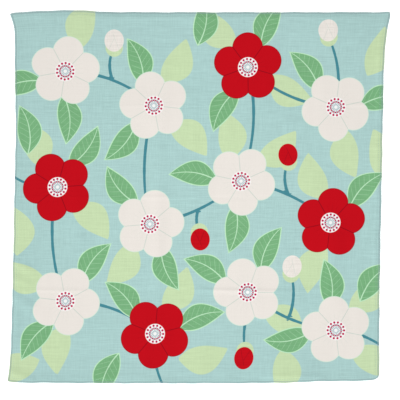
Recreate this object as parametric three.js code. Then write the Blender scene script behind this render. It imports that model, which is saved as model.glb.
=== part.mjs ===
// Furoshiki: a square cotton wrapping cloth, hemmed all round, laid out flat on a surface.
// Millimetres, +Z up. Seen from above, +X is the cloth's right and +Y is its top.
// The origin is the middle of the cloth's own box, on the surface that the cloth lies on.
// The hem is a fold of the same cloth, so the whole furoshiki is one solid.

import * as THREE from 'three';

// Driving sizes of the cloth
const CLOTH_WIDTH = 494.5;
const CLOTH_HEIGHT = 499.5;
const CLOTH_THICKNESS = 1.2;
const HEM_WIDTH = 6.0;
const HEM_THICKNESS = 2.0;
const HEM_FALL = 2.5;
const HEM_ROUND = 0.5;

// How the cloth lies: its sides lean over by this much for each mm of height
const SIDE_LEAN = 0.0207;

// How deep into the cloth an uneven edge still draws it
const EDGE_DRAW = 45.0;

// Small waves of every hem
const WAVE_HEIGHT = 0.35;
const WAVE_LENGTH = 71.0;
const WAVE_SHORTENING = 2.3;

// Fold lifts under this height are pressed flat, so most of the cloth lies on the surface
const PRESSED_HEIGHT = 0.12;

// Where the sides and ends bow out (or in, below zero). "at" runs along that edge from the
// left or from the bottom, "reach" is how far the bow spreads, "curve" is 1 for a pointed
// bow and 2 for a round one.
const EDGE_BOWS = {
  left: [
    { at: CLOTH_HEIGHT, reach: 24, out: 11.0, curve: 1.0 },
    { at: 424, reach: 52, out: 2.6, curve: 2.0 },
    { at: 0, reach: 26, out: 4.2, curve: 1.0 },
  ],
  right: [
    { at: CLOTH_HEIGHT, reach: 32, out: 7.6, curve: 1.6 },
    { at: 0, reach: 70, out: 2.8, curve: 1.0 },
  ],
  top: [
    { at: 0, reach: 8, out: -2.2, curve: 1.0 },
    { at: 68, reach: 42, out: 2.7, curve: 2.0 },
    { at: CLOTH_WIDTH, reach: 10, out: 1.2, curve: 1.0 },
  ],
  bottom: [
    { at: 0, reach: 9, out: -2.0, curve: 1.0 },
    { at: 230, reach: 190, out: 1.0, curve: 2.0 },
    { at: 444, reach: 60, out: -2.4, curve: 2.0 },
    { at: CLOTH_WIDTH, reach: 10, out: -4.2, curve: 1.0 },
  ],
};

// How far each corner's point is turned in, which blunts it
const CORNER_BLUNT = { topLeft: 0.4, topRight: 1.2, bottomLeft: 0.5, bottomRight: 1.8 };

// Soft ridges where the cloth stands off the surface. "x" and "y" are the middle of the
// ridge from the middle of the cloth, "turn" its direction in degrees from +X, "length" its
// run, "width" the half width of its crown and "height" its rise.
const RIDGES = [
  // Long upright waves of the middle
  { x: -54, y: 9, turn: 90, length: 240, width: 12, height: 1.7 },
  { x: -7, y: 9, turn: 90, length: 220, width: 7, height: 0.8 },
  { x: 14, y: 16, turn: 88, length: 215, width: 8, height: 1.1 },
  { x: -161, y: -32, turn: 92, length: 110, width: 11, height: 1.3 },
  { x: -107, y: 22, turn: 90, length: 135, width: 10, height: 0.9 },
  // Waves beside the right hem, with a trough between them
  { x: 184, y: -88, turn: 90, length: 135, width: 11, height: 1.9 },
  { x: 233, y: -11, turn: 89, length: 175, width: 12, height: 1.9 },
  // Rolls that run along the bottom hem
  { x: -233, y: -237, turn: -20, length: 40, width: 6, height: 2.0 },
  { x: -87, y: -239, turn: 1, length: 95, width: 7, height: 2.4 },
  { x: 28, y: -237, turn: 0, length: 54, width: 6, height: 1.5 },
  { x: 139, y: -235, turn: -2, length: 74, width: 7, height: 2.2 },
  // Puckers that slant away from the left hem
  { x: -237, y: -91, turn: -25, length: 36, width: 5, height: 1.7 },
  { x: -237, y: -113, turn: -22, length: 36, width: 5, height: 1.7 },
  { x: -234, y: -140, turn: -30, length: 44, width: 7, height: 2.2 },
  { x: -242, y: -180, turn: 80, length: 54, width: 7, height: 1.5 },
  // The top hem draws the cloth into a low swell below it
  { x: -121, y: 229, turn: 1, length: 150, width: 11, height: 1.5 },
  { x: 41, y: 226, turn: 0, length: 180, width: 12, height: 1.2 },
  { x: 190, y: 229, turn: -2, length: 90, width: 10, height: 1.6 },
];

// Facet spacing: fine steps beside the hems, where the folds are small, and wide ones between
const STEPS_ACROSS = { fineStart: 7, coarse: 28, fineEnd: 6, fineStartBand: 54, fineEndBand: 54 };
const STEPS_UP = { fineStart: 7, coarse: 29, fineEnd: 5, fineStartBand: 40, fineEndBand: 48 };
const EDGE_ROWS = 2;

/** Distances from one hem to the other at which the cloth has a row of points. */
function stations(length, steps) {
  const hemLines = [0, HEM_WIDTH, HEM_WIDTH + HEM_FALL];
  const inner = HEM_WIDTH + HEM_FALL;
  const spans = [
    { from: inner, to: steps.fineStartBand, count: steps.fineStart },
    { from: steps.fineStartBand, to: length - steps.fineEndBand, count: steps.coarse },
    { from: length - steps.fineEndBand, to: length - inner, count: steps.fineEnd },
  ];
  const lines = [...hemLines];
  for (const span of spans) {
    for (let i = 1; i <= span.count; i += 1) {
      lines.push(span.from + ((span.to - span.from) * i) / span.count);
    }
  }
  lines.push(length - HEM_WIDTH);
  lines.push(length);
  return lines;
}

/** How far an edge stands out at one place along it: its bows and its small waves. */
function edgeOut(bows, along) {
  const waves = WAVE_HEIGHT * (Math.sin(along / WAVE_LENGTH * 2 * Math.PI)
    + Math.cos(along / WAVE_LENGTH * 2 * Math.PI * WAVE_SHORTENING));
  return bows.reduce((out, bow) => {
    const away = Math.abs(along - bow.at) / bow.reach;
    return out + bow.out * Math.exp(-(away ** bow.curve));
  }, waves);
}

/** Where a point of the cut square lies once the cloth is laid out, seen from above. */
function layOut(across, up) {
  const x = across - CLOTH_WIDTH / 2;
  const y = up - CLOTH_HEIGHT / 2;
  const draw = (distance) => Math.exp(-distance / EDGE_DRAW);
  const left = edgeOut(EDGE_BOWS.left, up) * draw(across);
  const right = edgeOut(EDGE_BOWS.right, up) * draw(CLOTH_WIDTH - across);
  const bottom = edgeOut(EDGE_BOWS.bottom, across) * draw(up);
  const top = edgeOut(EDGE_BOWS.top, across) * draw(CLOTH_HEIGHT - up);
  return new THREE.Vector2(x + SIDE_LEAN * y - left + right, y - bottom + top);
}

/** How far the cloth stands off the surface: its soft ridges, less what is pressed flat. */
function foldLift(across, up) {
  const x = across - CLOTH_WIDTH / 2;
  const y = up - CLOTH_HEIGHT / 2;
  let lift = 0;
  for (const ridge of RIDGES) {
    const turn = THREE.MathUtils.degToRad(ridge.turn);
    const along = (x - ridge.x) * Math.cos(turn) + (y - ridge.y) * Math.sin(turn);
    const aside = (y - ridge.y) * Math.cos(turn) - (x - ridge.x) * Math.sin(turn);
    const run = Math.abs(along) / (ridge.length / 2);
    lift += ridge.height * Math.exp(-((aside / ridge.width) ** 2) - run ** 4);
  }
  return Math.max(0, lift - PRESSED_HEIGHT);
}

/** Thickness of the cloth: the hem's extra layers stop a short fall inside its edge. */
function clothThickness(across, up) {
  const fromEdge = Math.min(across, up, CLOTH_WIDTH - across, CLOTH_HEIGHT - up);
  const onHem = THREE.MathUtils.clamp((HEM_WIDTH + HEM_FALL - fromEdge) / HEM_FALL, 0, 1);
  return THREE.MathUtils.lerp(CLOTH_THICKNESS, HEM_THICKNESS, onHem);
}

/** How far a corner's own point is turned in, as steps along +X and +Y. */
function cornerBlunt(across, up) {
  const side = across === 0 ? 'Left' : 'Right';
  const end = up === 0 ? 'bottom' : 'top';
  const atCorner = (across === 0 || across === CLOTH_WIDTH) && (up === 0 || up === CLOTH_HEIGHT);
  const blunt = atCorner ? CORNER_BLUNT[end + side] : 0;
  return new THREE.Vector2(across === 0 ? blunt : -blunt, up === 0 ? blunt : -blunt);
}

/** The whole cloth: a thin box whose points are laid out, folded and hemmed. */
function clothGeometry() {
  const across = stations(CLOTH_WIDTH, STEPS_ACROSS);
  const up = stations(CLOTH_HEIGHT, STEPS_UP);
  const columns = across.length - 1;
  const rows = up.length - 1;
  const geometry = new THREE.BoxGeometry(columns, rows, 1, columns, rows, EDGE_ROWS);
  const points = geometry.attributes.position;
  for (let i = 0; i < points.count; i += 1) {
    const u = across[Math.round(points.getX(i) + columns / 2)];
    const v = up[Math.round(points.getY(i) + rows / 2)];
    const level = points.getZ(i) + 0.5;
    const halfWay = Math.abs(level - 0.5) < 0.25;
    const place = layOut(u, v).add(cornerBlunt(u, v));
    const roundX = halfWay ? Number(u === CLOTH_WIDTH) - Number(u === 0) : 0;
    const roundY = halfWay ? Number(v === CLOTH_HEIGHT) - Number(v === 0) : 0;
    points.setXYZ(
      i,
      place.x + HEM_ROUND * roundX,
      place.y + HEM_ROUND * roundY,
      foldLift(u, v) + level * clothThickness(u, v),
    );
  }
  geometry.computeBoundingBox();
  const middle = geometry.boundingBox.getCenter(new THREE.Vector3());
  geometry.translate(-middle.x, -middle.y, -geometry.boundingBox.min.z);
  geometry.computeVertexNormals();
  return geometry;
}

const cotton = new THREE.MeshStandardMaterial({
  name: 'cotton',
  color: new THREE.Color(173 / 255, 208 / 255, 205 / 255),
  roughness: 0.9,
  metalness: 0,
});

const cloth = new THREE.Mesh(clothGeometry(), cotton);
cloth.name = 'cloth';

const furoshiki = new THREE.Group();
furoshiki.name = 'furoshiki';
furoshiki.add(cloth);

export default furoshiki;
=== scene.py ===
"""Furoshiki: a square of printed slub cotton, hemmed all round and laid out flat.

Sizes are millimetres, and are turned into metres where something is placed. The cloth is
described on its cut square: "across" runs from its left edge and "up" from its bottom edge,
before it is laid out with its lean, bows and folds.
"""

import logging
import math
from dataclasses import dataclass, field
from enum import Enum
from typing import Callable, Sequence

import bmesh
import bpy
import numpy as np
from bpy.types import ID, Material, Mesh, Node, NodeSocket, Object
from mathutils import Matrix, Vector


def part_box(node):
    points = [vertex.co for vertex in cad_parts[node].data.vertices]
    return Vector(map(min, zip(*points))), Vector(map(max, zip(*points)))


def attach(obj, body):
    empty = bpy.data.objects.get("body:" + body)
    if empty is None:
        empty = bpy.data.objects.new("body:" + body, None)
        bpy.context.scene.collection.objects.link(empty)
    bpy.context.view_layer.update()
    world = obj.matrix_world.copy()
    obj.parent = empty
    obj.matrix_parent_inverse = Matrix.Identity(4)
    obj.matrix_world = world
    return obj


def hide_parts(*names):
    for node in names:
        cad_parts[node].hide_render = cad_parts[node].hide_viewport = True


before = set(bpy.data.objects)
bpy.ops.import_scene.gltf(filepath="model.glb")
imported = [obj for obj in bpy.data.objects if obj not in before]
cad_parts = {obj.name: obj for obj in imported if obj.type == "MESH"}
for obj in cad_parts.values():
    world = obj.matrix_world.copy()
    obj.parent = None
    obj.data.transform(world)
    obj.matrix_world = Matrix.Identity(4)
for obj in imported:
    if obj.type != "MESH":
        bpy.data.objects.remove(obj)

MM = 0.001
TURN = 2 * math.pi
PRINT_SOFTNESS = 0.5
CLOTH_NODE = "cloth"
Numbers = np.ndarray
Colour = tuple[float, float, float, float]

log = logging.getLogger("furoshiki")


def linear(*screen: float) -> Colour:
    """Turns a colour's 0 to 255 screen values into the renderer's linear colour."""
    shares = [value / 255 for value in screen]
    bent = [s / 12.92 if s <= 0.04045 else ((s + 0.055) / 1.055) ** 2.4 for s in shares]
    return *bent, 1.0


def shown(name: str, data: ID) -> Object:
    """Puts a mesh, a lamp or a camera into the scene, at the origin."""
    made = bpy.data.objects.new(name, data)
    bpy.context.collection.objects.link(made)
    return made


def modelled(bm: bmesh.types.BMesh, name: str) -> Object:
    """Turns a modelled form into a smooth object of the scene, at the origin."""
    for face in bm.faces:
        face.smooth = True
    mesh = bpy.data.meshes.new(name)
    bm.to_mesh(mesh)
    bm.free()
    return shown(name, mesh)


def table(*rows: Numbers | float) -> Numbers:
    """Stacks readings, with plain numbers filled out, as the rows of one table."""
    return np.stack(np.broadcast_arrays(*rows))


class Ink(Enum):
    """The two inks that blossoms and buds are printed in."""

    WHITE = 0
    RED = 1


WHITE, RED = Ink


class Side(Enum):
    """The two faces of the cloth, as the sign of the height within its thickness."""

    FACE = 1
    BACK = -1


@dataclass(frozen=True)
class Placed:
    """Anything with a middle and a direction on the cut square.

    x and y run from the middle of the square, and turn is in degrees from +X.
    """

    x: float
    y: float
    turn: float

    def own_places(self, x: Numbers, y: Numbers) -> tuple[Numbers, Numbers]:
        """Places of the cut square, measured along and across from this one's middle."""
        turn = math.radians(self.turn)
        along = (x - self.x) * math.cos(turn) + (y - self.y) * math.sin(turn)
        across = (y - self.y) * math.cos(turn) - (x - self.x) * math.sin(turn)
        return along, across


@dataclass(frozen=True)
class Bow:
    """A place where a hem bows out, or in where "out" is below zero."""

    at: float
    reach: float
    out: float
    curve: float = 1.0

    def out_at(self, along: Numbers) -> Numbers:
        """How far the hem stands out because of this bow, at places along it."""
        return self.out * np.exp(-((np.abs(along - self.at) / self.reach) ** self.curve))


@dataclass(frozen=True)
class Ridge(Placed):
    """A soft ridge of the cloth, or a trough where its height is below zero.

    "near_width" is the spread of the flank on its clockwise side where that differs from
    the other one.
    """

    length: float
    width: float
    height: float
    near_width: float = 0.0

    def lift_at(self, x: Numbers, y: Numbers) -> Numbers:
        """Height of this ridge at places measured from the middle of the cut square."""
        along, aside = self.own_places(x, y)
        run = np.abs(along) / (self.length / 2)
        spread = np.where(aside < 0, self.near_width or self.width, self.width)
        return self.height * np.exp(-((aside / spread) ** 2) - run**4)


@dataclass(frozen=True)
class Ripples:
    """Many faint waves that cross each other, as thin cotton keeps after pressing."""

    count: int
    shortest: float
    longest: float
    spread: float
    steepness: float
    seed: int

    def lift_at(self, x: Numbers, y: Numbers) -> Numbers:
        """Height of the ripples, above and below zero, at places on the cut square."""
        draw = np.random.default_rng(self.seed)
        lift = np.zeros_like(x)
        for _ in range(self.count):
            wavelength = draw.uniform(self.shortest, self.longest)
            turn = math.radians(draw.uniform(-self.spread, self.spread))
            phase = draw.uniform(0, TURN)
            travel = (x * math.cos(turn) + y * math.sin(turn)) / wavelength * TURN
            lift += self.steepness * wavelength * np.sin(travel + phase)
        return lift / math.sqrt(self.count)


@dataclass
class LaidCloth:
    """The square of cotton: how it is cut and hemmed, and how it lies."""

    width: float = 494.5
    height: float = 499.5
    thickness: float = 0.5
    hem_thickness: float = 0.95
    hem_width: float = 6.0
    hem_fall: float = 5.0
    hem_round: float = 0.5
    # How much of one hem's extra layers is pressed away where it crosses another
    hem_crossing: float = 0.6
    tuck_depth: float = 0.3
    tuck_width: float = 0.45
    side_lean: float = 0.0207
    edge_draw: float = 45.0
    wave_height: float = 0.2
    wave_length: float = 71.0
    wave_shortening: float = 2.3
    pressed_height: float = 0.12
    resting_gap: float = 0.32
    least_gap: float = 0.12
    row_step: float = 2.75
    fold_lines: Sequence[float] = (124.5, 250.0, 374.0)
    fold_steps: Sequence[float] = (-4.2, -3.0, -1.9, -0.95, 0, 0.95, 1.9, 3.0, 4.2)
    hem_lines: Sequence[float] = (0, 0.5, 1.2, 2.4, 3.6, 4.6, 5.5, 6.0, 6.6, 7.5, 8.6, 9.9, 11.4)
    edge_cuts: int = 2
    # Bows: at, reach, out, curve
    left_bows: Sequence[Bow] = (Bow(499.5, 24, 11.0), Bow(424, 52, 2.6, 2.0), Bow(0, 26, 4.2))
    right_bows: Sequence[Bow] = (Bow(499.5, 32, 7.6, 1.6), Bow(0, 70, 2.8))
    top_bows: Sequence[Bow] = (Bow(0, 8, -2.2), Bow(68, 42, 2.7, 2.0), Bow(494.5, 10, 1.2))
    bottom_bows: Sequence[Bow] = (
        Bow(0, 9, -2.0), Bow(230, 190, 1.0, 2.0), Bow(444, 60, -2.4, 2.0), Bow(494.5, 10, -4.2)
    )
    # Each corner's sides, how far its point is turned in and how many times that this spreads
    corner_blunt: Sequence[tuple[int, int, float]] = (
        (-1, 1, 0.4), (1, 1, 1.2), (-1, -1, 0.5), (1, -1, 1.8)
    )
    blunt_spread: float = 6.0
    # Ridges and creases: x, y, turn, length, width, height
    ridges: Sequence[Ridge] = (
        # Long upright waves of the middle
        Ridge(-54, 9, 90, 240, 12, 1.1), Ridge(-7, 9, 90, 220, 7, 0.55),
        Ridge(14, 16, 88, 215, 8, 0.7), Ridge(-161, -32, 92, 110, 11, 0.9),
        Ridge(-107, 22, 90, 135, 10, 0.65),
        # Waves beside the right hem, with a trough between them
        Ridge(184, -88, 90, 135, 12, 1.2), Ridge(239, -2, 89, 175, 11, 1.1),
        # Rolls that run along the bottom hem
        Ridge(-233, -240, -20, 40, 6, 1.4), Ridge(-87, -243, 181, 105, 6.5, 1.3, near_width=22),
        Ridge(28, -243, 180, 70, 6, 1.0, near_width=22),
        Ridge(134, -241, 178, 84, 6.5, 1.3, near_width=22),
        # The left hem stands up a little, with puckers that slant away from it
        Ridge(-237, -60, 90, 270, 8, 0.7, near_width=30), Ridge(-237, -91, -25, 36, 5, 0.9),
        Ridge(-237, -113, -22, 36, 5, 0.9), Ridge(-234, -140, -30, 44, 7, 1.3),
        Ridge(-242, -180, 80, 54, 7, 1.0),
        # The top hem draws the cloth into a low swell below it
        Ridge(-121, 239, 1, 170, 7.5, 1.35, near_width=55),
        Ridge(41, 239, 0, 190, 7.5, 1.3, near_width=55),
        Ridge(190, 239, -2, 110, 7.5, 1.35, near_width=55),
    )
    creases: Sequence[Ridge] = (
        # The lowest of the three lines that the cloth was folded up along
        Ridge(-193, -125.5, -1, 120, 2.6, 0.42), Ridge(-92, -125.0, 0, 100, 2.8, -0.42),
        Ridge(58, -126.0, -1, 130, 3.0, 0.8), Ridge(176, -124.5, 1, 110, 2.8, 0.4),
        # The middle one
        Ridge(-186, 0.5, 0, 120, 2.4, 0.14), Ridge(-66, 0.2, 0.3, 150, 2.6, 0.3),
        Ridge(48, -0.4, 0, 100, 2.4, -0.2), Ridge(226, -0.4, 0, 46, 2.6, -0.3),
        # The highest one
        Ridge(-40, 124.0, 0.5, 260, 2.6, 0.14), Ridge(226, 125.0, 0, 52, 2.6, 0.26),
        # Short creases between the puckers of the left hem
        Ridge(-228, -99, -24, 26, 2.6, 0.25), Ridge(-230, -126, -28, 30, 2.8, 0.3),
        Ridge(-226, -152, -34, 30, 3.0, 0.25),
        # Short creases in the bottom rolls, and dips between them
        Ridge(-97, -241, 1, 66, 3.4, 0.5), Ridge(95, -239.5, -3, 60, 3.2, 0.55),
        Ridge(145, -241.5, -4, 64, 3.8, 0.6), Ridge(206, -236, -12, 34, 3.0, 0.3),
        Ridge(-38, -242, 6, 30, 3.2, -0.4), Ridge(30, -242, -5, 28, 3.2, -0.4),
        Ridge(182, -241.5, 4, 30, 3.2, -0.4),
    )
    ripples: Sequence[Ripples] = (
        Ripples(count=22, shortest=13, longest=30, spread=14, steepness=0.0034, seed=11),
        Ripples(count=14, shortest=40, longest=120, spread=90, steepness=0.0028, seed=5),
    )
    # Columns of the cloth's own map, start and width, with a margin above and below
    map_margin: float = 0.005
    face_column: tuple[float, float] = (0.005, 0.775)
    edge_column: tuple[float, float] = (0.788, 0.014)
    back_column: tuple[float, float] = (0.81, 0.185)
    _shift: Vector = field(default_factory=Vector)

    def __post_init__(self) -> None:
        """Finds the step that brings the laid-out square onto its solid."""
        low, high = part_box(CLOTH_NODE)
        spots = self.laid_out(*np.meshgrid(self.lines(self.width), self.lines(self.height)))
        for axis, laid in enumerate(spots):
            middle = (low[axis] + high[axis]) / 2 / MM
            self._shift[axis] = middle - (laid.min() + laid.max()) / 2

    def lines(self, length: float, folds: Sequence[float] = ()) -> Numbers:
        """Spaces the mesh's rows over a length, close together at its hems and folds.

        Args:
            length: How far it is from hem to hem.
            folds: Where the cloth was folded up.

        Returns:
            Rising distances from the first hem.
        """
        hem = np.array(self.hem_lines, float)
        close = [fold + np.array(self.fold_steps) for fold in folds]
        found = [hem]
        for span in close + [length - hem[::-1]]:
            room = span[0] - found[-1][-1]
            steps = round(room / self.row_step)
            found.append(found[-1][-1] + room * np.arange(1, steps) / steps)
            found.append(span)
        return np.concatenate(found)

    def _drawn_out(self, bows: Sequence[Bow], along: Numbers, inside: Numbers) -> Numbers:
        """How far an uneven edge draws out the cloth beside it.

        Args:
            bows: The edge's bows.
            along: Places along the edge.
            inside: How far inside the edge they are.

        Returns:
            A distance for each place.
        """
        turns = along / self.wave_length * TURN
        waves = self.wave_height * (np.sin(turns) + np.cos(turns * self.wave_shortening))
        out = waves + sum(bow.out_at(along) for bow in bows)
        return out * np.exp(-inside / self.edge_draw)

    def centred(self, across: Numbers, up: Numbers) -> tuple[Numbers, Numbers]:
        """Places of the cut square, measured from its middle."""
        return across - self.width / 2, up - self.height / 2

    def laid_out(self, across: Numbers, up: Numbers) -> tuple[Numbers, Numbers]:
        """Where places of the cut square lie, seen from above.

        Args:
            across: Distances from the left edge of the cut square.
            up: Distances from its bottom edge.

        Returns:
            The x and y of each place, in millimetres.
        """
        x, y = self.centred(across, up)
        left = self._drawn_out(self.left_bows, up, across)
        right = self._drawn_out(self.right_bows, up, self.width - across)
        bottom = self._drawn_out(self.bottom_bows, across, up)
        top = self._drawn_out(self.top_bows, across, self.height - up)
        laid_x = x + self.side_lean * y - left + right + self._shift.x
        laid_y = y - bottom + top + self._shift.y
        for side_x, side_y, blunt in self.corner_blunt:
            away = self.width / 2 - side_x * x + self.height / 2 - side_y * y
            nearness = np.clip(1 - away / (self.blunt_spread * blunt), 0, 1) ** 2
            laid_x = laid_x - side_x * blunt * nearness
            laid_y = laid_y - side_y * blunt * nearness
        return laid_x, laid_y

    def to_edges(self, across: Numbers, up: Numbers) -> Numbers:
        """Distances to the nearer side and to the nearer end, as two rows."""
        return table(np.minimum(across, self.width - across), np.minimum(up, self.height - up))

    def lift(self, across: Numbers, up: Numbers) -> Numbers:
        """How far the underside stands off the surface at places of the cut square."""
        x, y = self.centred(across, up)
        folds = sum(ridge.lift_at(x, y) for ridge in self.ridges) - self.pressed_height
        small = sum(form.lift_at(x, y) for form in (*self.creases, *self.ripples))
        return np.maximum(self.least_gap, np.maximum(0, folds) + small + self.resting_gap)

    def depth(self, across: Numbers, up: Numbers) -> Numbers:
        """Thickness of the cloth, with the layers that the hem adds beside each edge."""
        inside = self.hem_width + self.hem_fall - self.to_edges(across, up)
        share = np.clip(inside / self.hem_fall, 0, 1)
        sides, ends = share * share * (3 - 2 * share)
        layers = sides + ends - self.hem_crossing * sides * ends
        return self.thickness + (self.hem_thickness - self.thickness) * layers

    def place(self, across: Numbers, up: Numbers, side: Numbers) -> Numbers:
        """Puts places of the cloth where they lie.

        Args:
            across: Distances from the left edge of the cut square.
            up: Distances from its bottom edge.
            side: From 1 on the face to -1 on the back.

        Returns:
            A row of x, y and z for each place, in metres.
        """
        x, y = self.laid_out(across, up)
        round_out = self.hem_round * (1 - side**2)
        x = x + round_out * (np.isclose(across, self.width) * 1.0 - np.isclose(across, 0))
        y = y + round_out * (np.isclose(up, self.height) * 1.0 - np.isclose(up, 0))
        off_tuck = (self.to_edges(across, up).min(axis=0) - self.hem_width) / self.tuck_width
        tuck = self.tuck_depth * np.exp(-(off_tuck**2))
        under = self.lift(across, up) + np.where(side < 0, tuck, 0)
        z = under + (side + 1) / 2 * self.depth(across, up)
        return np.stack([x, y, z], axis=1) * MM

    def build(self) -> Object:
        """Models the hemmed cloth as one closed thin sheet.

        Returns:
            The cloth's object, at the origin, with its cut places kept on its points.
        """
        across_lines = self.lines(self.width)
        up_lines = self.lines(self.height, self.fold_lines)
        columns = len(across_lines) - 1
        rows = len(up_lines) - 1
        bm = bmesh.new()
        cut = bm.verts.layers.float_vector.new("cut_place")
        bmesh.ops.create_grid(bm, x_segments=columns, y_segments=rows, size=0.5)
        for vert in bm.verts:
            column = round((vert.co.x + 0.5) * columns)
            row = round((vert.co.y + 0.5) * rows)
            vert[cut] = (across_lines[column], up_lines[row], Side.BACK.value)
        grown = bmesh.ops.extrude_face_region(bm, geom=bm.faces[:], use_keep_orig=True)
        face_verts = {item for item in grown["geom"] if isinstance(item, bmesh.types.BMVert)}
        for vert in face_verts:
            vert[cut].z = Side.FACE.value
        walls = [edge for edge in bm.edges if len(face_verts.intersection(edge.verts)) == 1]
        bmesh.ops.subdivide_edges(bm, edges=walls, cuts=self.edge_cuts, use_grid_fill=True)
        places = np.array([vert[cut][:] for vert in bm.verts])
        for vert, spot in zip(bm.verts, self.place(*places.T)):
            vert.co = spot
        bmesh.ops.recalc_face_normals(bm, faces=bm.faces)
        cloth = modelled(bm, "furoshiki_cloth")
        self._add_map(cloth.data)
        return cloth

    def cut_places(self, mesh: Mesh) -> Numbers:
        """The cut place of each of the mesh's points: across, up and side."""
        found = np.empty(len(mesh.vertices) * 3, np.float32)
        mesh.attributes["cut_place"].data.foreach_get("vector", found)
        return found.reshape(-1, 3).astype(float)

    def _add_map(self, mesh: Mesh) -> None:
        """Lays the face, the folded edges and the back side by side on the cloth's own map."""
        corners = np.empty(len(mesh.loops), np.int32)
        mesh.loops.foreach_get("vertex_index", corners)
        spots = self.cut_places(mesh)[corners]
        # Every face has four corners, and the folded edges' faces look neither up nor down
        side = spots[:, 2].reshape(-1, 4).mean(axis=1).repeat(4)
        across, up, level = (spots / (self.width, self.height, 2)).T
        upright = np.isclose(across, 0) | np.isclose(across, 1)
        on_edge = np.abs(side) < 0.99
        v = self.map_margin + (1 - 2 * self.map_margin) * np.where(on_edge & ~upright, across, up)
        u = np.zeros_like(v)
        for (start, wide), share, here in (
            (self.face_column, across, side > 0),
            (self.back_column, across, side < 0),
            (self.edge_column, level + 0.5, on_edge),
        ):
            u = np.where(here, start + wide * share, u)
        layer = mesh.uv_layers.new(name="OFBake")
        layer.data.foreach_set("uv", np.stack([u, v], axis=1).astype(np.float32).ravel())


@dataclass(frozen=True)
class LeafShape:
    """How one kind of printed leaf is drawn, and how far it stands from its blossom."""

    half_length: float
    half_width: float
    stand_off: float
    curl: float = 0.45
    curl_middle: float = 0.35
    taper: float = 0.22
    slant: float = 0.85

    def reach_at(self, along: Numbers, across: Numbers) -> Numbers:
        """Rough distance outside the leaf's outline, below zero inside it."""
        share = along / self.half_length
        aside = across / self.half_width - self.curl * (share**2 - self.curl_middle)
        outline = np.clip(1 - share**2, 0, None) * (1 - self.taper * share)
        past_tip = np.clip(np.abs(share) - 1, 0, None) * self.half_length
        return (np.abs(aside) - outline) * self.half_width * self.slant + past_tip


@dataclass(frozen=True)
class Leaf(Placed):
    """A printed leaf. flip is 1 or -1 for the side that it curls to."""

    flip: int

    def measured(self, x: Numbers, y: Numbers, shape: LeafShape) -> Numbers:
        """Rows of how far outside the leaf places are, their along, across, and flip."""
        along, across = self.own_places(x, y)
        across = across * self.flip
        return table(shape.reach_at(along, across), along, across, self.flip)


@dataclass(frozen=True)
class Flower(Placed):
    """A printed bud or blossom, in one of the two inks."""

    ink: Ink

    def measured(self, x: Numbers, y: Numbers, radius: float) -> Numbers:
        """Rows of how far outside a round places are, their along, across, and the ink."""
        along, across = self.own_places(x, y)
        return table(np.hypot(along, across) - radius, along, across, self.ink.value)


@dataclass(frozen=True)
class Sprig(Flower):
    """A printed blossom, with the directions of the leaves that stand round it."""

    leaves: Sequence[float]
    pale_leaves: Sequence[float]


@dataclass(frozen=True)
class Twig:
    """A printed twig from one place to another, bowed aside in its middle."""

    x: float
    y: float
    to_x: float
    to_y: float
    bow: float

    def measured(self, x: Numbers, y: Numbers, half_width: float) -> Numbers:
        """Rows of how far outside the twig places are, their share, across, and bow."""
        run_x, run_y = (self.to_x - self.x) / 2, (self.to_y - self.y) / 2
        turn = math.degrees(math.atan2(run_y, run_x))
        along, across = Placed(self.x + run_x, self.y + run_y, turn).own_places(x, y)
        half = math.hypot(run_x, run_y)
        share = along / half
        past_end = np.clip(np.abs(share) - 1, 0, None) * half
        reach = np.hypot(across - self.bow * (1 - share**2), past_end) - half_width
        return table(reach, share, across, self.bow)


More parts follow.
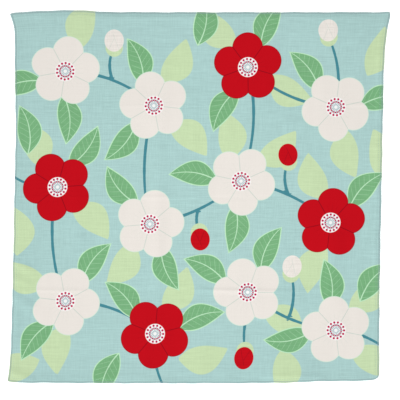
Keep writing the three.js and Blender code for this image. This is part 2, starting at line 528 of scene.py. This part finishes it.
@dataclass(frozen=True)
class BlossomPrint:
    """The print: plum blossoms, two kinds of leaf, twigs and buds, tossed over the ground.

    Places are millimetres from the middle of the cut square and turns are degrees.
    """

    petal_ring: float = 27.0
    petal_radius: float = 19.8
    petal_flatness: float = 0.96
    petals: int = 5
    green_shape: LeafShape = LeafShape(half_length=34.2, half_width=16.8, stand_off=64.5)
    pale_shape: LeafShape = LeafShape(half_length=34.5, half_width=19.0, stand_off=65.5)
    twig_half_width: float = 1.9
    twig_taper: float = 0.4
    bud_radius: float = 13.0
    # How far a bud and its cup reach, as a share of the bud's radius
    bud_reach: float = 1.55
    sprigs: Sequence[Sprig] = (
        Sprig(-182, 170, 10, WHITE, (274, 196), (70,)),
        Sprig(-190, 14, 40, RED, (54.5,), (118, 318)),
        Sprig(-176, -140, 65, WHITE, (55, 232), (150, 262)),
        Sprig(-62, 124, 30, WHITE, (110, 231), (62, 320)),
        Sprig(-64, -36, 5, WHITE, (130, 292), (238,)),
        Sprig(-54, -184, 50, RED, (132, 20), (62,)),
        Sprig(64, 176, 20, RED, (66, 240), (130, 330)),
        Sprig(58, 22, 60, WHITE, (172, 264), (40,)),
        Sprig(70, -128, 35, WHITE, (66, 150), (322,)),
        Sprig(184, 122, 48, WHITE, (128, 10), (284,)),
        Sprig(180, -34, 12, RED, (46,), (112, 250)),
        Sprig(190, -180, 25, WHITE, (98, 190), (48, 318)),
    )
    loose_leaves: Sequence[Leaf] = (
        Leaf(-232, 92, 100, 1), Leaf(4, 238, 84, 1), Leaf(-118, -240, 250, 1),
        Leaf(240, -112, 50, -1),
    )
    loose_pale_leaves: Sequence[Leaf] = (
        Leaf(240, 196, 75, 1), Leaf(-242, -44, 98, 1), Leaf(122, -238, 265, -1),
        Leaf(-240, -234, 215, 1), Leaf(246, 60, 100, 1), Leaf(42, 84, 98, 1),
        Leaf(12.5, -216, 12, 1),
    )
    twigs: Sequence[Twig] = (
        Twig(-182, 170, -62, 124, 12), Twig(-62, 124, -64, -36, -10),
        Twig(-190, 14, -176, -140, -12), Twig(-176, -140, -54, -184, 12),
        Twig(64, 176, 58, 22, 12), Twig(58, 22, 180, -34, 10), Twig(70, -128, 190, -180, -10),
        Twig(184, 122, 64, 176, 12), Twig(-64, -36, 58, 22, -10), Twig(-190, 14, -252, 30, 6),
        Twig(-54, -184, -40, -256, -6), Twig(190, -180, 256, -206, 6),
        Twig(184, 122, 172, 216, -8), Twig(-118, 158, -117, 202, 5), Twig(123, 3, 121, 48, 5),
        Twig(126, -163, 128, -103, -5), Twig(1, -16, 3, -47, -3), Twig(76, -142, 68, -206, -5),
    )
    buds: Sequence[Flower] = (
        Flower(-117, 209, 92, WHITE), Flower(121, 55, 96, RED),
        Flower(129, -96, 84, WHITE), Flower(4, -54, 277, RED),
        Flower(171, 223, 98, WHITE), Flower(67, -214, 262, RED),
    )

    def _round_blossoms(self, pale: bool) -> list[Leaf]:
        """Finds the leaves that stand round the blossoms.

        Args:
            pale: Whether they are the pale ones or the green ones.

        Returns:
            The leaves.
        """
        found = []
        stand_off = (self.pale_shape if pale else self.green_shape).stand_off
        for order, sprig in enumerate(self.sprigs):
            for place, turn in enumerate(sprig.pale_leaves if pale else sprig.leaves):
                x = sprig.x + stand_off * math.cos(math.radians(turn))
                y = sprig.y + stand_off * math.sin(math.radians(turn))
                found.append(Leaf(x, y, turn, 1 if (order + place) % 2 else -1))
        return found

    def lay_on(self, mesh: Mesh, cloth: LaidCloth) -> None:
        """Keeps on each point of the cloth its place on the nearest motif of every layer.

        The pale leaves have no lines in them, so only the distance outside them is kept.

        Args:
            mesh: The cloth's mesh.
            cloth: The cloth, for the size of its cut square.
        """
        places = cloth.cut_places(mesh)
        x, y = cloth.centred(places[:, 0], places[:, 1])
        pale = (*self._round_blossoms(pale=True), *self.loose_pale_leaves)
        green = (*self._round_blossoms(pale=False), *self.loose_leaves)
        for name, motifs, size in (
            ("pale_leaf", pale, self.pale_shape),
            ("leaf", green, self.green_shape),
            ("twig", self.twigs, self.twig_half_width),
            ("bud", self.buds, self.bud_radius * self.bud_reach),
            ("blossom", self.sprigs, self.petal_ring + self.petal_radius),
        ):
            found = np.stack([motif.measured(x, y, size) for motif in motifs])
            nearest = found[:, 0].argmin(axis=0)
            own = found[nearest, :, np.arange(len(x))].astype(np.float32)
            kept = mesh.attributes.new(f"{name}_reach", "FLOAT", "POINT")
            kept.data.foreach_set("value", np.ascontiguousarray(own[:, 0]))
            if name != "pale_leaf":
                kept = mesh.attributes.new(f"{name}_place", "FLOAT_VECTOR", "POINT")
                kept.data.foreach_set("vector", own[:, 1:].ravel())


def worked(operation: str, mirrored: bool = False) -> Callable[..., "Shade"]:
    """Makes a method that adds one Math node, with its own number first or last."""
    def method(self: "Shade", *others: "Amount") -> "Shade":
        """The node's result."""
        return self.sum(operation, *((*others, self) if mirrored else (self, *others)))

    return method


@dataclass(frozen=True)
class Shade:
    """A number that changes over a surface: the output of a shader node, with sums on it."""

    paint: "Paint"
    socket: NodeSocket

    def sum(self, operation: str, *values: "Amount", clamp: bool = False) -> "Shade":
        """Adds one Math node.

        Args:
            operation: What it works out.
            values: What it works on, in order.
            clamp: Whether its result is kept from 0 to 1.

        Returns:
            Its result.
        """
        made = self.paint.node(
            "ShaderNodeMath", dict(enumerate(values)), operation=operation, use_clamp=clamp
        )
        return Shade(self.paint, made.outputs[0])

    __add__ = __radd__ = worked("ADD")
    __sub__ = worked("SUBTRACT")
    __rsub__ = worked("SUBTRACT", mirrored=True)
    __mul__ = __rmul__ = worked("MULTIPLY")
    __truediv__ = worked("DIVIDE")
    __abs__ = worked("ABSOLUTE")
    # For a number that is never below zero
    __pow__ = worked("POWER")
    sin = worked("SINE")
    cos = worked("COSINE")
    exp = worked("EXPONENT")
    least = worked("MINIMUM")
    most = worked("MAXIMUM")
    # Direction, in radians, of a place this far along and that far across
    turn = worked("ARCTAN2", mirrored=True)

    def far(self, across: "Shade") -> "Shade":
        """Distance from zero of a place this far along and that far across."""
        return (self * self + across * across) ** 0.5

    def within(self, edge: float = 0.0, soft: float = PRINT_SOFTNESS) -> "Shade":
        """1 where this is under an edge, 0 over it, with a soft step between them."""
        return self.sum("MULTIPLY_ADD", self, -1 / soft, edge / soft + 0.5, clamp=True)

    def folded(self, pitch: float, start: float = 0.0) -> "Shade":
        """Distance to the nearest of marks that repeat at a pitch, with its sign."""
        turns = (self - start) / pitch
        return (turns - self.sum("ROUND", turns)) * pitch


Amount = Shade | float


class Paint:
    """A finish being mixed: one material and the nodes that colour it."""

    def __init__(self, name: str) -> None:
        """Starts a material with nothing in it but its surface."""
        self.material = bpy.data.materials.new(name)
        self.material.use_nodes = True
        self.tree = self.material.node_tree
        self.tree.nodes.clear()
        self.surface = self.node("ShaderNodeBsdfPrincipled")
        self.node("ShaderNodeOutputMaterial", {"Surface": self.surface.outputs[0]})

    def node(
        self, kind: str, inputs: dict[str | int, object] | None = None, **settings: object
    ) -> Node:
        """Adds one node.

        Args:
            kind: The node's type.
            inputs: Values or links for its sockets, by name or number.
            settings: Its settings, which are set first.

        Returns:
            The node.
        """
        made = self.tree.nodes.new(kind)
        for name, value in settings.items():
            setattr(made, name, value)
        for name, value in (inputs or {}).items():
            self.put(made, name, value)
        return made

    def put(self, node: Node, name: str | int, value: object) -> None:
        """Sets or links one socket of a node."""
        if isinstance(value, Shade):
            value = value.socket
        if isinstance(value, NodeSocket):
            self.tree.links.new(value, node.inputs[name])
        else:
            node.inputs[name].default_value = value

    def finish(self, inputs: dict[str, object]) -> Material:
        """Sets the surface's own sockets, and hands over the finished material."""
        for name, value in inputs.items():
            self.put(self.surface, name, value)
        return self.material

    def number(self, name: str) -> Shade:
        """Reads a number that the piece's points carry."""
        made = self.node("ShaderNodeAttribute", attribute_name=name)
        return Shade(self, made.outputs["Fac"])

    def numbers(self, name: str = "") -> tuple[Shade, Shade, Shade]:
        """Reads three numbers that the piece's points carry, or else their own places."""
        if name:
            made = self.node("ShaderNodeAttribute", attribute_name=name)
            read = made.outputs["Vector"]
        else:
            read = self.node("ShaderNodeTexCoord").outputs["Object"]
        apart = self.node("ShaderNodeSeparateXYZ", {"Vector": read})
        x, y, z = (Shade(self, socket) for socket in apart.outputs)
        return x, y, z

    def noise(self, x: Shade, y: Shade, detail: float, roughness: float = 0.5) -> Shade:
        """Even noise of about one cloud for each unit, from -1 to 1 round zero."""
        place = self.node("ShaderNodeCombineXYZ", {"X": x, "Y": y}).outputs[0]
        inputs = {"Vector": place, "Scale": 1.0, "Detail": detail, "Roughness": roughness}
        made = self.node("ShaderNodeTexNoise", inputs, noise_dimensions="2D")
        return (Shade(self, made.outputs[0]) - 0.5) * 2.0

    def mix(self, share: Shade | float, under: object, over: object) -> NodeSocket:
        """Lays one colour over another by a share from 0 to 1."""
        made = self.node("ShaderNodeMix", {0: share, 6: under, 7: over}, data_type="RGBA")
        return made.outputs[2]

    def scaled(self, colour: object, share: Shade) -> NodeSocket:
        """Makes a colour lighter or darker by a factor."""
        inputs = {"Vector": colour, "Scale": share}
        return self.node("ShaderNodeVectorMath", inputs, operation="SCALE").outputs[0]

    def bump(self, height: Shade, full: float, strength: float) -> NodeSocket:
        """Tilts the surface by a relief that is "full" metres high where height is 1."""
        inputs = {"Strength": strength, "Distance": full, "Height": height}
        return self.node("ShaderNodeBump", inputs).outputs[0]


@dataclass(frozen=True)
class SlubWeave:
    """Plain weave of uneven yarn: its threads, thick places and dents at the stitches."""

    thread_pitch: float = 0.52
    pick_length: float = 420.0
    pick_pitch: float = 1.5
    slub_length: float = 36.0
    slub_pitch: float = 1.45
    slub_roughness: float = 0.4
    fine_length: float = 13.0
    fine_pitch: float = 0.85
    fine_warp: float = 0.8
    band_pitch: float = 7.0
    cloud_size: float = 46.0
    thread_height: float = 0.05
    slub_height: float = 0.05
    pucker_pitch: float = 6.0
    # Steps, in clouds, that keep the warp's noise apart from the weft's
    slub_step: float = 37.0
    fine_step: float = 53.0

    def slubs(self, paint: Paint, across: Shade, up: Shade) -> tuple[Shade, Shade]:
        """Thick places of the yarns that run across and of those that run up.

        Args:
            paint: The finish that they go into.
            across: Distance from the left edge of the cut square.
            up: Distance from its bottom edge.

        Returns:
            Two readings from about -1 to 1.
        """
        rough = self.slub_roughness
        weft = paint.noise(across / self.slub_length, up / self.slub_pitch, 1.0, rough)
        warp_x = across / self.slub_pitch + self.slub_step
        return weft, paint.noise(warp_x, up / self.slub_length, 1.0, rough)

    def fine_threads(self, paint: Paint, across: Shade, up: Shade) -> Shade:
        """Lighter and darker threads of both directions, from about -1 to 1."""
        weft = paint.noise(across / self.fine_length, up / self.fine_pitch, 0.0)
        warp_y = up / self.fine_length + self.fine_step
        return weft + paint.noise(across / self.fine_pitch, warp_y, 0.0) * self.fine_warp

    def relief(self, across: Shade, up: Shade) -> Shade:
        """The up and down of single threads, from 0 to 1."""
        turn = math.pi / self.thread_pitch
        warp = (across * turn).sin()
        weft = (up * turn).sin()
        return warp * weft * 0.5 + 0.5


@dataclass(frozen=True)
class PrintedCotton:
    """The cloth's finish: dyed ground, five printed layers, weave, sheen and paler back."""

    ground: Colour = linear(173, 208, 205)
    pale_leaf: Colour = linear(200, 222, 178)
    leaf: Colour = linear(123, 179, 129)
    leaf_line: Colour = linear(192, 234, 196)
    twig: Colour = linear(72, 138, 150)
    white: Colour = linear(235, 229, 222)
    white_rim: Colour = linear(214, 232, 216)
    white_line: Colour = linear(205, 214, 205)
    red: Colour = linear(196, 10, 25)
    red_line: Colour = linear(146, 8, 24)
    disc: Colour = linear(246, 246, 244)
    stamen: Colour = linear(84, 148, 162)
    anther: Colour = linear(206, 28, 88)
    anther_core: Colour = linear(140, 20, 60)
    bare: Colour = linear(205, 222, 220)
    # Painted shade: the darker line where the hem's folded edge rolls away from the light
    painted_edge_shade: Colour = linear(138, 158, 162)
    printed: BlossomPrint = BlossomPrint()
    weave: SlubWeave = SlubWeave()
    # How far outside its motifs a layer can be read
    pale_soft: float = 0.8
    reach_slack: float = 1.6
    # Green leaves
    leaf_rim: float = 1.25
    rib_half: float = 0.62
    rib_taper: float = 0.008
    vein_pitch: float = 8.0
    vein_start: float = 3.0
    vein_half: float = 0.3
    vein_slant: float = 0.8
    vein_reach: float = 0.78
    vein_ink: float = 0.42
    # Twigs
    knots: float = 6.0
    knot_height: float = 0.35
    # Buds, in shares of their radius
    cup_middle: float = -0.53
    cup_stretch: float = 1.05
    cup_radius: float = 0.9
    petal_middle: float = 0.21
    petal_stretch: float = 1.15
    seam_start: float = 0.63
    seam_end: float = 0.95
    seam_slope: float = -0.35
    cut_start: float = 0.42
    cut_slope: float = 0.5
    bud_line_half: float = 0.4
    bud_line_ink: float = 0.6
    # Blossoms
    heart_radius: float = 12.0
    disc_radius: float = 13.4
    seam_half: float = 0.55
    petal_vein_turn: float = 0.3
    petal_vein_half: float = 0.2
    petal_vein_end: float = 24.0
    petal_vein_ink: float = 0.35
    petal_rim: float = 0.9
    petal_rim_start: float = 20.0
    red_rim_ink: float = 0.7
    stamens: int = 14
    stamen_half: float = 0.34
    stamen_start: float = 2.4
    stamen_end: float = 10.0
    # Rings of dots: radius, whether they stand between the stamens, size of a dot
    anther_rings: Sequence[tuple[float, bool, float]] = ((11.0, False, 1.5), (7.2, True, 1.15))
    anther_core_share: float = 0.4
    # Yarn, painted edge shade and hem
    band_strength: float = 0.004
    cloud_strength: float = 0.016
    pick_strength: float = 0.055
    weft_strength: float = 0.075
    warp_strength: float = 0.055
    fine_strength: float = 0.05
    back_fading: float = 0.58
    painted_shade_width: float = 2.0
    painted_shade_share: float = 0.54
    painted_shade_tip_width: float = 0.6
    painted_shade_tip_loss: float = 0.3
    ink_cover: float = 0.85
    pale_ink_cover: float = 0.35
    crimp_middle: float = 4.6
    crimp_width: float = 3.4
    crimp_height: float = 0.12

    def _near(self, paint: Paint, name: str) -> Shade:
        """1 on and just outside a layer's motifs, and 0 where their places change over."""
        return paint.number(f"{name}_reach").within(self.reach_slack, 0.2)

    def _leaves(self, paint: Paint, colour: object) -> object:
        """Prints the green leaves with their pale outline, midrib and side veins."""
        shape = self.printed.green_shape
        along, across, _ = paint.numbers("leaf_place")
        share = along / shape.half_length
        bent = (share * share - shape.curl_middle) * shape.curl
        aside = across / shape.half_width - bent
        outline = (1.0 - share * share).most(0.0) * (1.0 - share * shape.taper)
        off_rib = abs(aside)
        reach = (off_rib - outline) * (shape.half_width * shape.slant)
        inside = reach.within() * self._near(paint, "leaf")
        rib = off_rib * shape.half_width + along * self.rib_taper
        rib = rib.within(self.rib_half)
        slanted = along - off_rib * shape.half_width * self.vein_slant
        vein = abs(slanted.folded(self.vein_pitch, self.vein_start))
        vein = vein.within(self.vein_half)
        vein = vein * (off_rib - outline * self.vein_reach).within(0.0, 0.12) * self.vein_ink
        rim = 1.0 - (reach + self.leaf_rim).within()
        green = paint.mix(rim.most(rib).most(vein), self.leaf, self.leaf_line)
        return paint.mix(inside, colour, green)

    def _twigs(self, paint: Paint, colour: object) -> object:
        """Prints the twigs, a little thicker at one end than at the other."""
        share, across, bow = paint.numbers("twig_place")
        aside = abs(across - bow * (1.0 - share * share))
        knots = paint.noise(share * self.knots, bow, 1.0) * self.knot_height
        half = self.printed.twig_half_width - share * self.printed.twig_taper + knots
        inside = (aside - half).within() * abs(share).within(1.0, 0.012)
        return paint.mix(inside * self._near(paint, "twig"), colour, self.twig)

    def _buds(self, paint: Paint, colour: object) -> object:
        """Prints the buds: a pale green cup and the closed petals that stand out of it."""
        radius = self.printed.bud_radius
        near = self._near(paint, "bud")
        along, across, ink = paint.numbers("bud_place")
        cup = ((along - radius * self.cup_middle) / self.cup_stretch).far(across)
        petals = ((along - radius * self.petal_middle) / self.petal_stretch).far(across)
        seam = abs(across + (along - radius * self.seam_start) * self.seam_slope)
        seam = seam.within(self.bud_line_half) * along.within(radius * self.seam_end, 1.0)
        cut = abs(across + (along - radius * self.cut_start) * self.cut_slope)
        cut = cut.within(self.bud_line_half) * (0.0 - across).within(0.0, 0.6)
        tint = paint.mix(ink, self.white, self.red)
        line_tint = paint.mix(ink, self.white_line, self.red_line)
        tint = paint.mix(seam.most(cut) * self.bud_line_ink, tint, line_tint)
        cup = cup.within(radius * self.cup_radius) * near
        colour = paint.mix(cup, colour, self.pale_leaf)
        return paint.mix(petals.within(radius) * near, colour, tint)

    def _blossoms(self, paint: Paint, colour: object) -> tuple[object, Shade]:
        """Prints the blossoms: five petals, a pale disc, stamens and their dots.

        Args:
            paint: The finish that they go into.
            colour: The colour under them.

        Returns:
            The colour with the blossoms on it, and where their thick ink covers the yarn.
        """
        design = self.printed
        along, across, ink = paint.numbers("blossom_place")
        radius = along.far(across)
        turn = along.turn(across)
        petal_turn = turn.folded(TURN / design.petals)
        out = radius * petal_turn.cos()
        aside = abs(radius * petal_turn.sin())
        reach = (out - design.petal_ring).far(aside * design.petal_flatness)
        reach = reach - design.petal_radius
        inside = reach.within().most(radius.within(self.heart_radius))
        inside = inside * self._near(paint, "blossom")

        tint = paint.mix(ink, self.white, self.red)
        line_tint = paint.mix(ink, self.white_line, self.red_line)
        seam = abs(aside - out * math.tan(math.pi / design.petals))
        seam = seam.within(self.seam_half)
        veins = abs(petal_turn.folded(self.petal_vein_turn)) * radius
        veins = veins.within(self.petal_vein_half)
        veins = veins * radius.within(self.petal_vein_end, 4.0) * self.petal_vein_ink
        tint = paint.mix(seam.most(veins), tint, line_tint)
        rim = 1.0 - (reach + self.petal_rim).within()
        rim = rim * (1.0 - radius.within(self.petal_rim_start, 1.0))
        rim = rim * (1.0 - ink * (1.0 - self.red_rim_ink))
        tint = paint.mix(rim, tint, paint.mix(ink, self.white_rim, self.red_line))

        tint = paint.mix(radius.within(self.disc_radius), tint, self.disc)
        pitch = TURN / self.stamens
        stem = abs(radius * turn.folded(pitch).sin()).within(self.stamen_half)
        stem = stem * radius.within(self.stamen_end)
        stem = stem * (1.0 - radius.within(self.stamen_start))
        tint = paint.mix(stem, tint, self.stamen)
        for ring, between, size in self.anther_rings:
            dot_turn = turn.folded(pitch, pitch / 2 if between else 0.0)
            dot = (radius * dot_turn.cos() - ring).far(radius * dot_turn.sin())
            tint = paint.mix(dot.within(size), tint, self.anther)
            core = dot.within(size * self.anther_core_share)
            tint = paint.mix(core, tint, self.anther_core)
        return paint.mix(inside, colour, tint), inside

    def material(self, cloth: LaidCloth) -> Material:
        """Mixes the cloth's material.

        Args:
            cloth: The cloth, for its size and its hem.

        Returns:
            The material.
        """
        weave = self.weave
        paint = Paint("printed_slub_cotton")
        across, up, side = paint.numbers("cut_place")
        pale = paint.number("pale_leaf_reach").within(0.0, self.pale_soft)
        colour = paint.mix(pale, self.ground, self.pale_leaf)
        colour = self._twigs(paint, colour)
        colour = self._leaves(paint, colour)
        colour = self._buds(paint, colour)
        colour, covered = self._blossoms(paint, colour)

        from_edge = across.least(cloth.width - across).least(up.least(cloth.height - up))
        on_back = side.within(-0.5, 0.4) * (1.0 - from_edge.within(cloth.hem_width, 0.4))
        colour = paint.mix(on_back * self.back_fading, colour, self.bare)
        # Painted shade: a darker line along the folded edge, where the cloth rolls away from the
        # light, eased a little at the very rim
        tip = from_edge.within(self.painted_shade_tip_width, 0.6) * self.painted_shade_tip_loss
        painted_edge_shade = from_edge.within(self.painted_shade_width, 0.8) * (self.painted_shade_share - tip)
        colour = paint.mix(painted_edge_shade, colour, self.painted_edge_shade)

        weft, warp = weave.slubs(paint, across, up)
        bands = (up * (TURN / weave.band_pitch)).sin() * self.band_strength
        clouds = paint.noise(across / weave.cloud_size, up / weave.cloud_size, 3.0)
        picks = paint.noise(across / weave.pick_length, up / weave.pick_pitch, 2.0)
        fine = weave.fine_threads(paint, across, up) * self.fine_strength
        yarn = weft * self.weft_strength + warp * self.warp_strength + fine
        yarn = yarn + picks * self.pick_strength + bands + clouds * self.cloud_strength
        inked = covered.most(pale * self.pale_ink_cover) * self.ink_cover
        colour = paint.scaled(colour, 1.0 + yarn * (1.0 - inked))

        threads = weave.relief(across, up) * weave.thread_height
        slubs = (weft + warp) * weave.slub_height
        beside = (from_edge - self.crimp_middle) / self.crimp_width
        crimp = paint.noise(across / weave.pucker_pitch, up / weave.pucker_pitch, 1.0)
        crimp = crimp * (0.0 - beside * beside).exp() * self.crimp_height
        height = (threads + slubs) * (1.0 - inked * 0.5) + crimp
        return paint.finish({
            "Base Color": colour,
            "Roughness": 0.84 - weft * 0.05 - warp * 0.04,
            "Specular IOR Level": 0.05,
            "Sheen Weight": 0.01,
            "Sheen Roughness": 0.6,
            "Normal": paint.bump(height, MM, 0.8),
        })


@dataclass(frozen=True)
class SewingThread:
    """The finish of the hem's thread: dyed like the ground and twisted."""

    colour: Colour = linear(166, 202, 200)
    shadow: Colour = linear(138, 176, 175)
    shadow_strength: float = 0.6
    twist_pitch: float = 0.32
    twist_height: float = 0.05

    def material(self) -> Material:
        """Mixes the thread's material."""
        paint = Paint("hem_thread")
        x, y, _ = paint.numbers()
        twist = ((x + y) * (TURN / (self.twist_pitch * MM))).sin() * 0.5 + 0.5
        colour = paint.mix(twist * self.shadow_strength, self.colour, self.shadow)
        return paint.finish({
            "Base Color": colour,
            "Roughness": 0.7 - twist * 0.12,
            "Normal": paint.bump(twist, self.twist_height * MM, 0.5),
        })


@dataclass(frozen=True)
class PalePaper:
    """The finish of the surface that the cloth lies on: nearly white, with a faint grain."""

    light: Colour = linear(250, 250, 250)
    dark: Colour = linear(247, 247, 247)
    grain: float = 0.3
    grain_scale: float = 60.0
    glow: float = 0.5

    def material(self) -> Material:
        """Mixes the paper's material."""
        paint = Paint("pale_paper")
        seen = paint.node("ShaderNodeTexCoord").outputs["Object"]
        inputs = {"Vector": seen, "Scale": self.grain_scale}
        grain = Shade(paint, paint.node("ShaderNodeTexNoise", inputs).outputs[0])
        grey = paint.mix(grain * self.grain, self.light, self.dark)
        return paint.finish({
            "Base Color": grey,
            "Emission Color": grey,
            "Emission Strength": self.glow,
            "Roughness": 0.9,
            "Specular IOR Level": 0.1,
        })


@dataclass
class HemStitching:
    """The line of small stitches that holds the hem, on the face and on the back."""

    inset: float = 4.6
    pitch: float = 3.1
    stitch: float = 2.5
    thread: float = 0.3
    sunk: float = 0.04
    rounds: int = 6
    rings: int = 5

    def _runs(self, cloth: LaidCloth) -> Numbers:
        """Ends of every stitch on the cut square: across, up, then across, up again."""
        runs = []
        for length, other in ((cloth.width, cloth.height), (cloth.height, cloth.width)):
            count = int((length - 2 * self.inset) / self.pitch)
            first = (length - (count - 1) * self.pitch - self.stitch) / 2
            starts = first + self.pitch * np.arange(count)
            for line in (self.inset, other - self.inset):
                run = table(starts, line, starts + self.stitch, line)
                runs.append(run[[1, 0, 3, 2]] if length == cloth.height else run)
        return np.concatenate(runs, axis=1)

    def _laid(self, cloth: LaidCloth) -> list[Matrix]:
        """How a round one unit long is stretched, turned and moved to make each stitch."""
        across, up, to_across, to_up = self._runs(cloth)
        found = []
        for side in Side:
            flag = np.full_like(up, side.value)
            starts = cloth.place(across, up, flag)
            ends = cloth.place(to_across, to_up, flag)
            for start, end in zip(starts, ends):
                middle = Vector((start + end) / 2)
                middle.z -= side.value * self.sunk * MM
                along = Vector(end - start)
                size = Vector((along.length, self.thread * MM, self.thread * MM))
                turn = along.to_track_quat("X", "Z")
                found.append(Matrix.LocRotScale(middle, turn, size))
        return found

    def build(self, cloth: LaidCloth) -> Object:
        """Sews the stitches into the hem.

        Args:
            cloth: The cloth that they lie on.

        Returns:
            The stitches' object.
        """
        laid = self._laid(cloth)
        bm = bmesh.new()
        bmesh.ops.create_uvsphere(bm, u_segments=self.rounds, v_segments=self.rings, radius=0.5)
        own = bm.verts.layers.int.new("stitch")
        count = 1
        while count < len(laid):
            grown = bmesh.ops.duplicate(bm, geom=bm.verts[:] + bm.edges[:] + bm.faces[:])
            for item in grown["geom"]:
                if isinstance(item, bmesh.types.BMVert):
                    item[own] += count
            count *= 2
        spare = [vert for vert in bm.verts if vert[own] >= len(laid)]
        bmesh.ops.delete(bm, geom=spare, context="VERTS")
        for vert in bm.verts:
            vert.co = laid[vert[own]] @ vert.co
        return modelled(bm, "hem_stitching")


@dataclass
class Studio:
    """The plain pale surface, the soft light and the camera straight above."""

    frame_width: float = 540.8
    lens: float = 100.0
    sensor: float = 36.0
    look_x: float = 1.4
    look_y: float = -4.2
    floor_size: float = 16000.0
    floor_drop: float = 0.1
    floor_parts: int = 8
    # Lamps: name, place and size in metres, power. The main one hangs at the bottom left
    lamps: Sequence[tuple[str, tuple[float, float, float], float, float]] = (
        ("main_light", (-4.3, -5.2, 4.75), 3.2, 392.0),
        ("overhead_light", (0.05, 0.0, 0.93), 0.75, 4.2),
    )
    room_light: float = 0.3

    def floor(self) -> Object:
        """Lays the pale surface just under the cloth."""
        bm = bmesh.new()
        parts = self.floor_parts
        half = self.floor_size / 2 * MM
        bmesh.ops.create_grid(bm, x_segments=parts, y_segments=parts, size=half)
        bmesh.ops.translate(bm, verts=bm.verts, vec=(0, 0, -self.floor_drop * MM))
        floor = modelled(bm, "floor")
        floor.data.materials.append(PalePaper().material())
        return floor

    def light(self) -> None:
        """Hangs the soft lamps, turned to the cloth, in a pale room."""
        for name, place, size, power in self.lamps:
            data = bpy.data.lights.new(name, "AREA")
            data.size = size
            data.energy = power
            lamp = shown(name, data)
            lamp.location = place
            lamp.rotation_euler = (-Vector(place)).to_track_quat("-Z", "Y").to_euler()
            lamp.visible_camera = False
        world = bpy.data.worlds.new("pale_room")
        world.use_nodes = True
        backdrop = world.node_tree.nodes["Background"]
        backdrop.inputs["Color"].default_value = (1.0, 1.0, 1.0, 1.0)
        backdrop.inputs["Strength"].default_value = self.room_light
        bpy.context.scene.world = world

    def camera(self) -> None:
        """Sets the camera straight above the cloth."""
        data = bpy.data.cameras.new("camera")
        data.lens = self.lens
        data.sensor_width = self.sensor
        distance = self.frame_width * self.lens / self.sensor
        camera = shown("camera", data)
        camera.location = Vector((self.look_x, self.look_y, distance)) * MM
        bpy.context.scene.camera = camera
        bpy.context.scene.view_settings.view_transform = "Standard"


def main() -> None:
    """Builds the furoshiki round its frame, and the studio that shows it."""
    logging.basicConfig(level=logging.INFO, format="%(name)s: %(message)s")
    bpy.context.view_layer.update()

    studio = Studio()
    studio.camera()
    studio.light()
    studio.floor()
    log.info("studio is set, camera straight above")

    cloth = LaidCloth()
    piece = cloth.build()
    BlossomPrint().lay_on(piece.data, cloth)
    piece.data.materials.append(PrintedCotton().material(cloth))
    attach(piece, "root")
    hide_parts(CLOTH_NODE)
    log.info("%s has %d faces", piece.name, len(piece.data.polygons))

    stitches = HemStitching().build(cloth)
    stitches.data.materials.append(SewingThread().material())
    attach(stitches, "root")
    log.info("%s has %d faces", stitches.name, len(stitches.data.polygons))


if __name__ == "__main__":
    main()
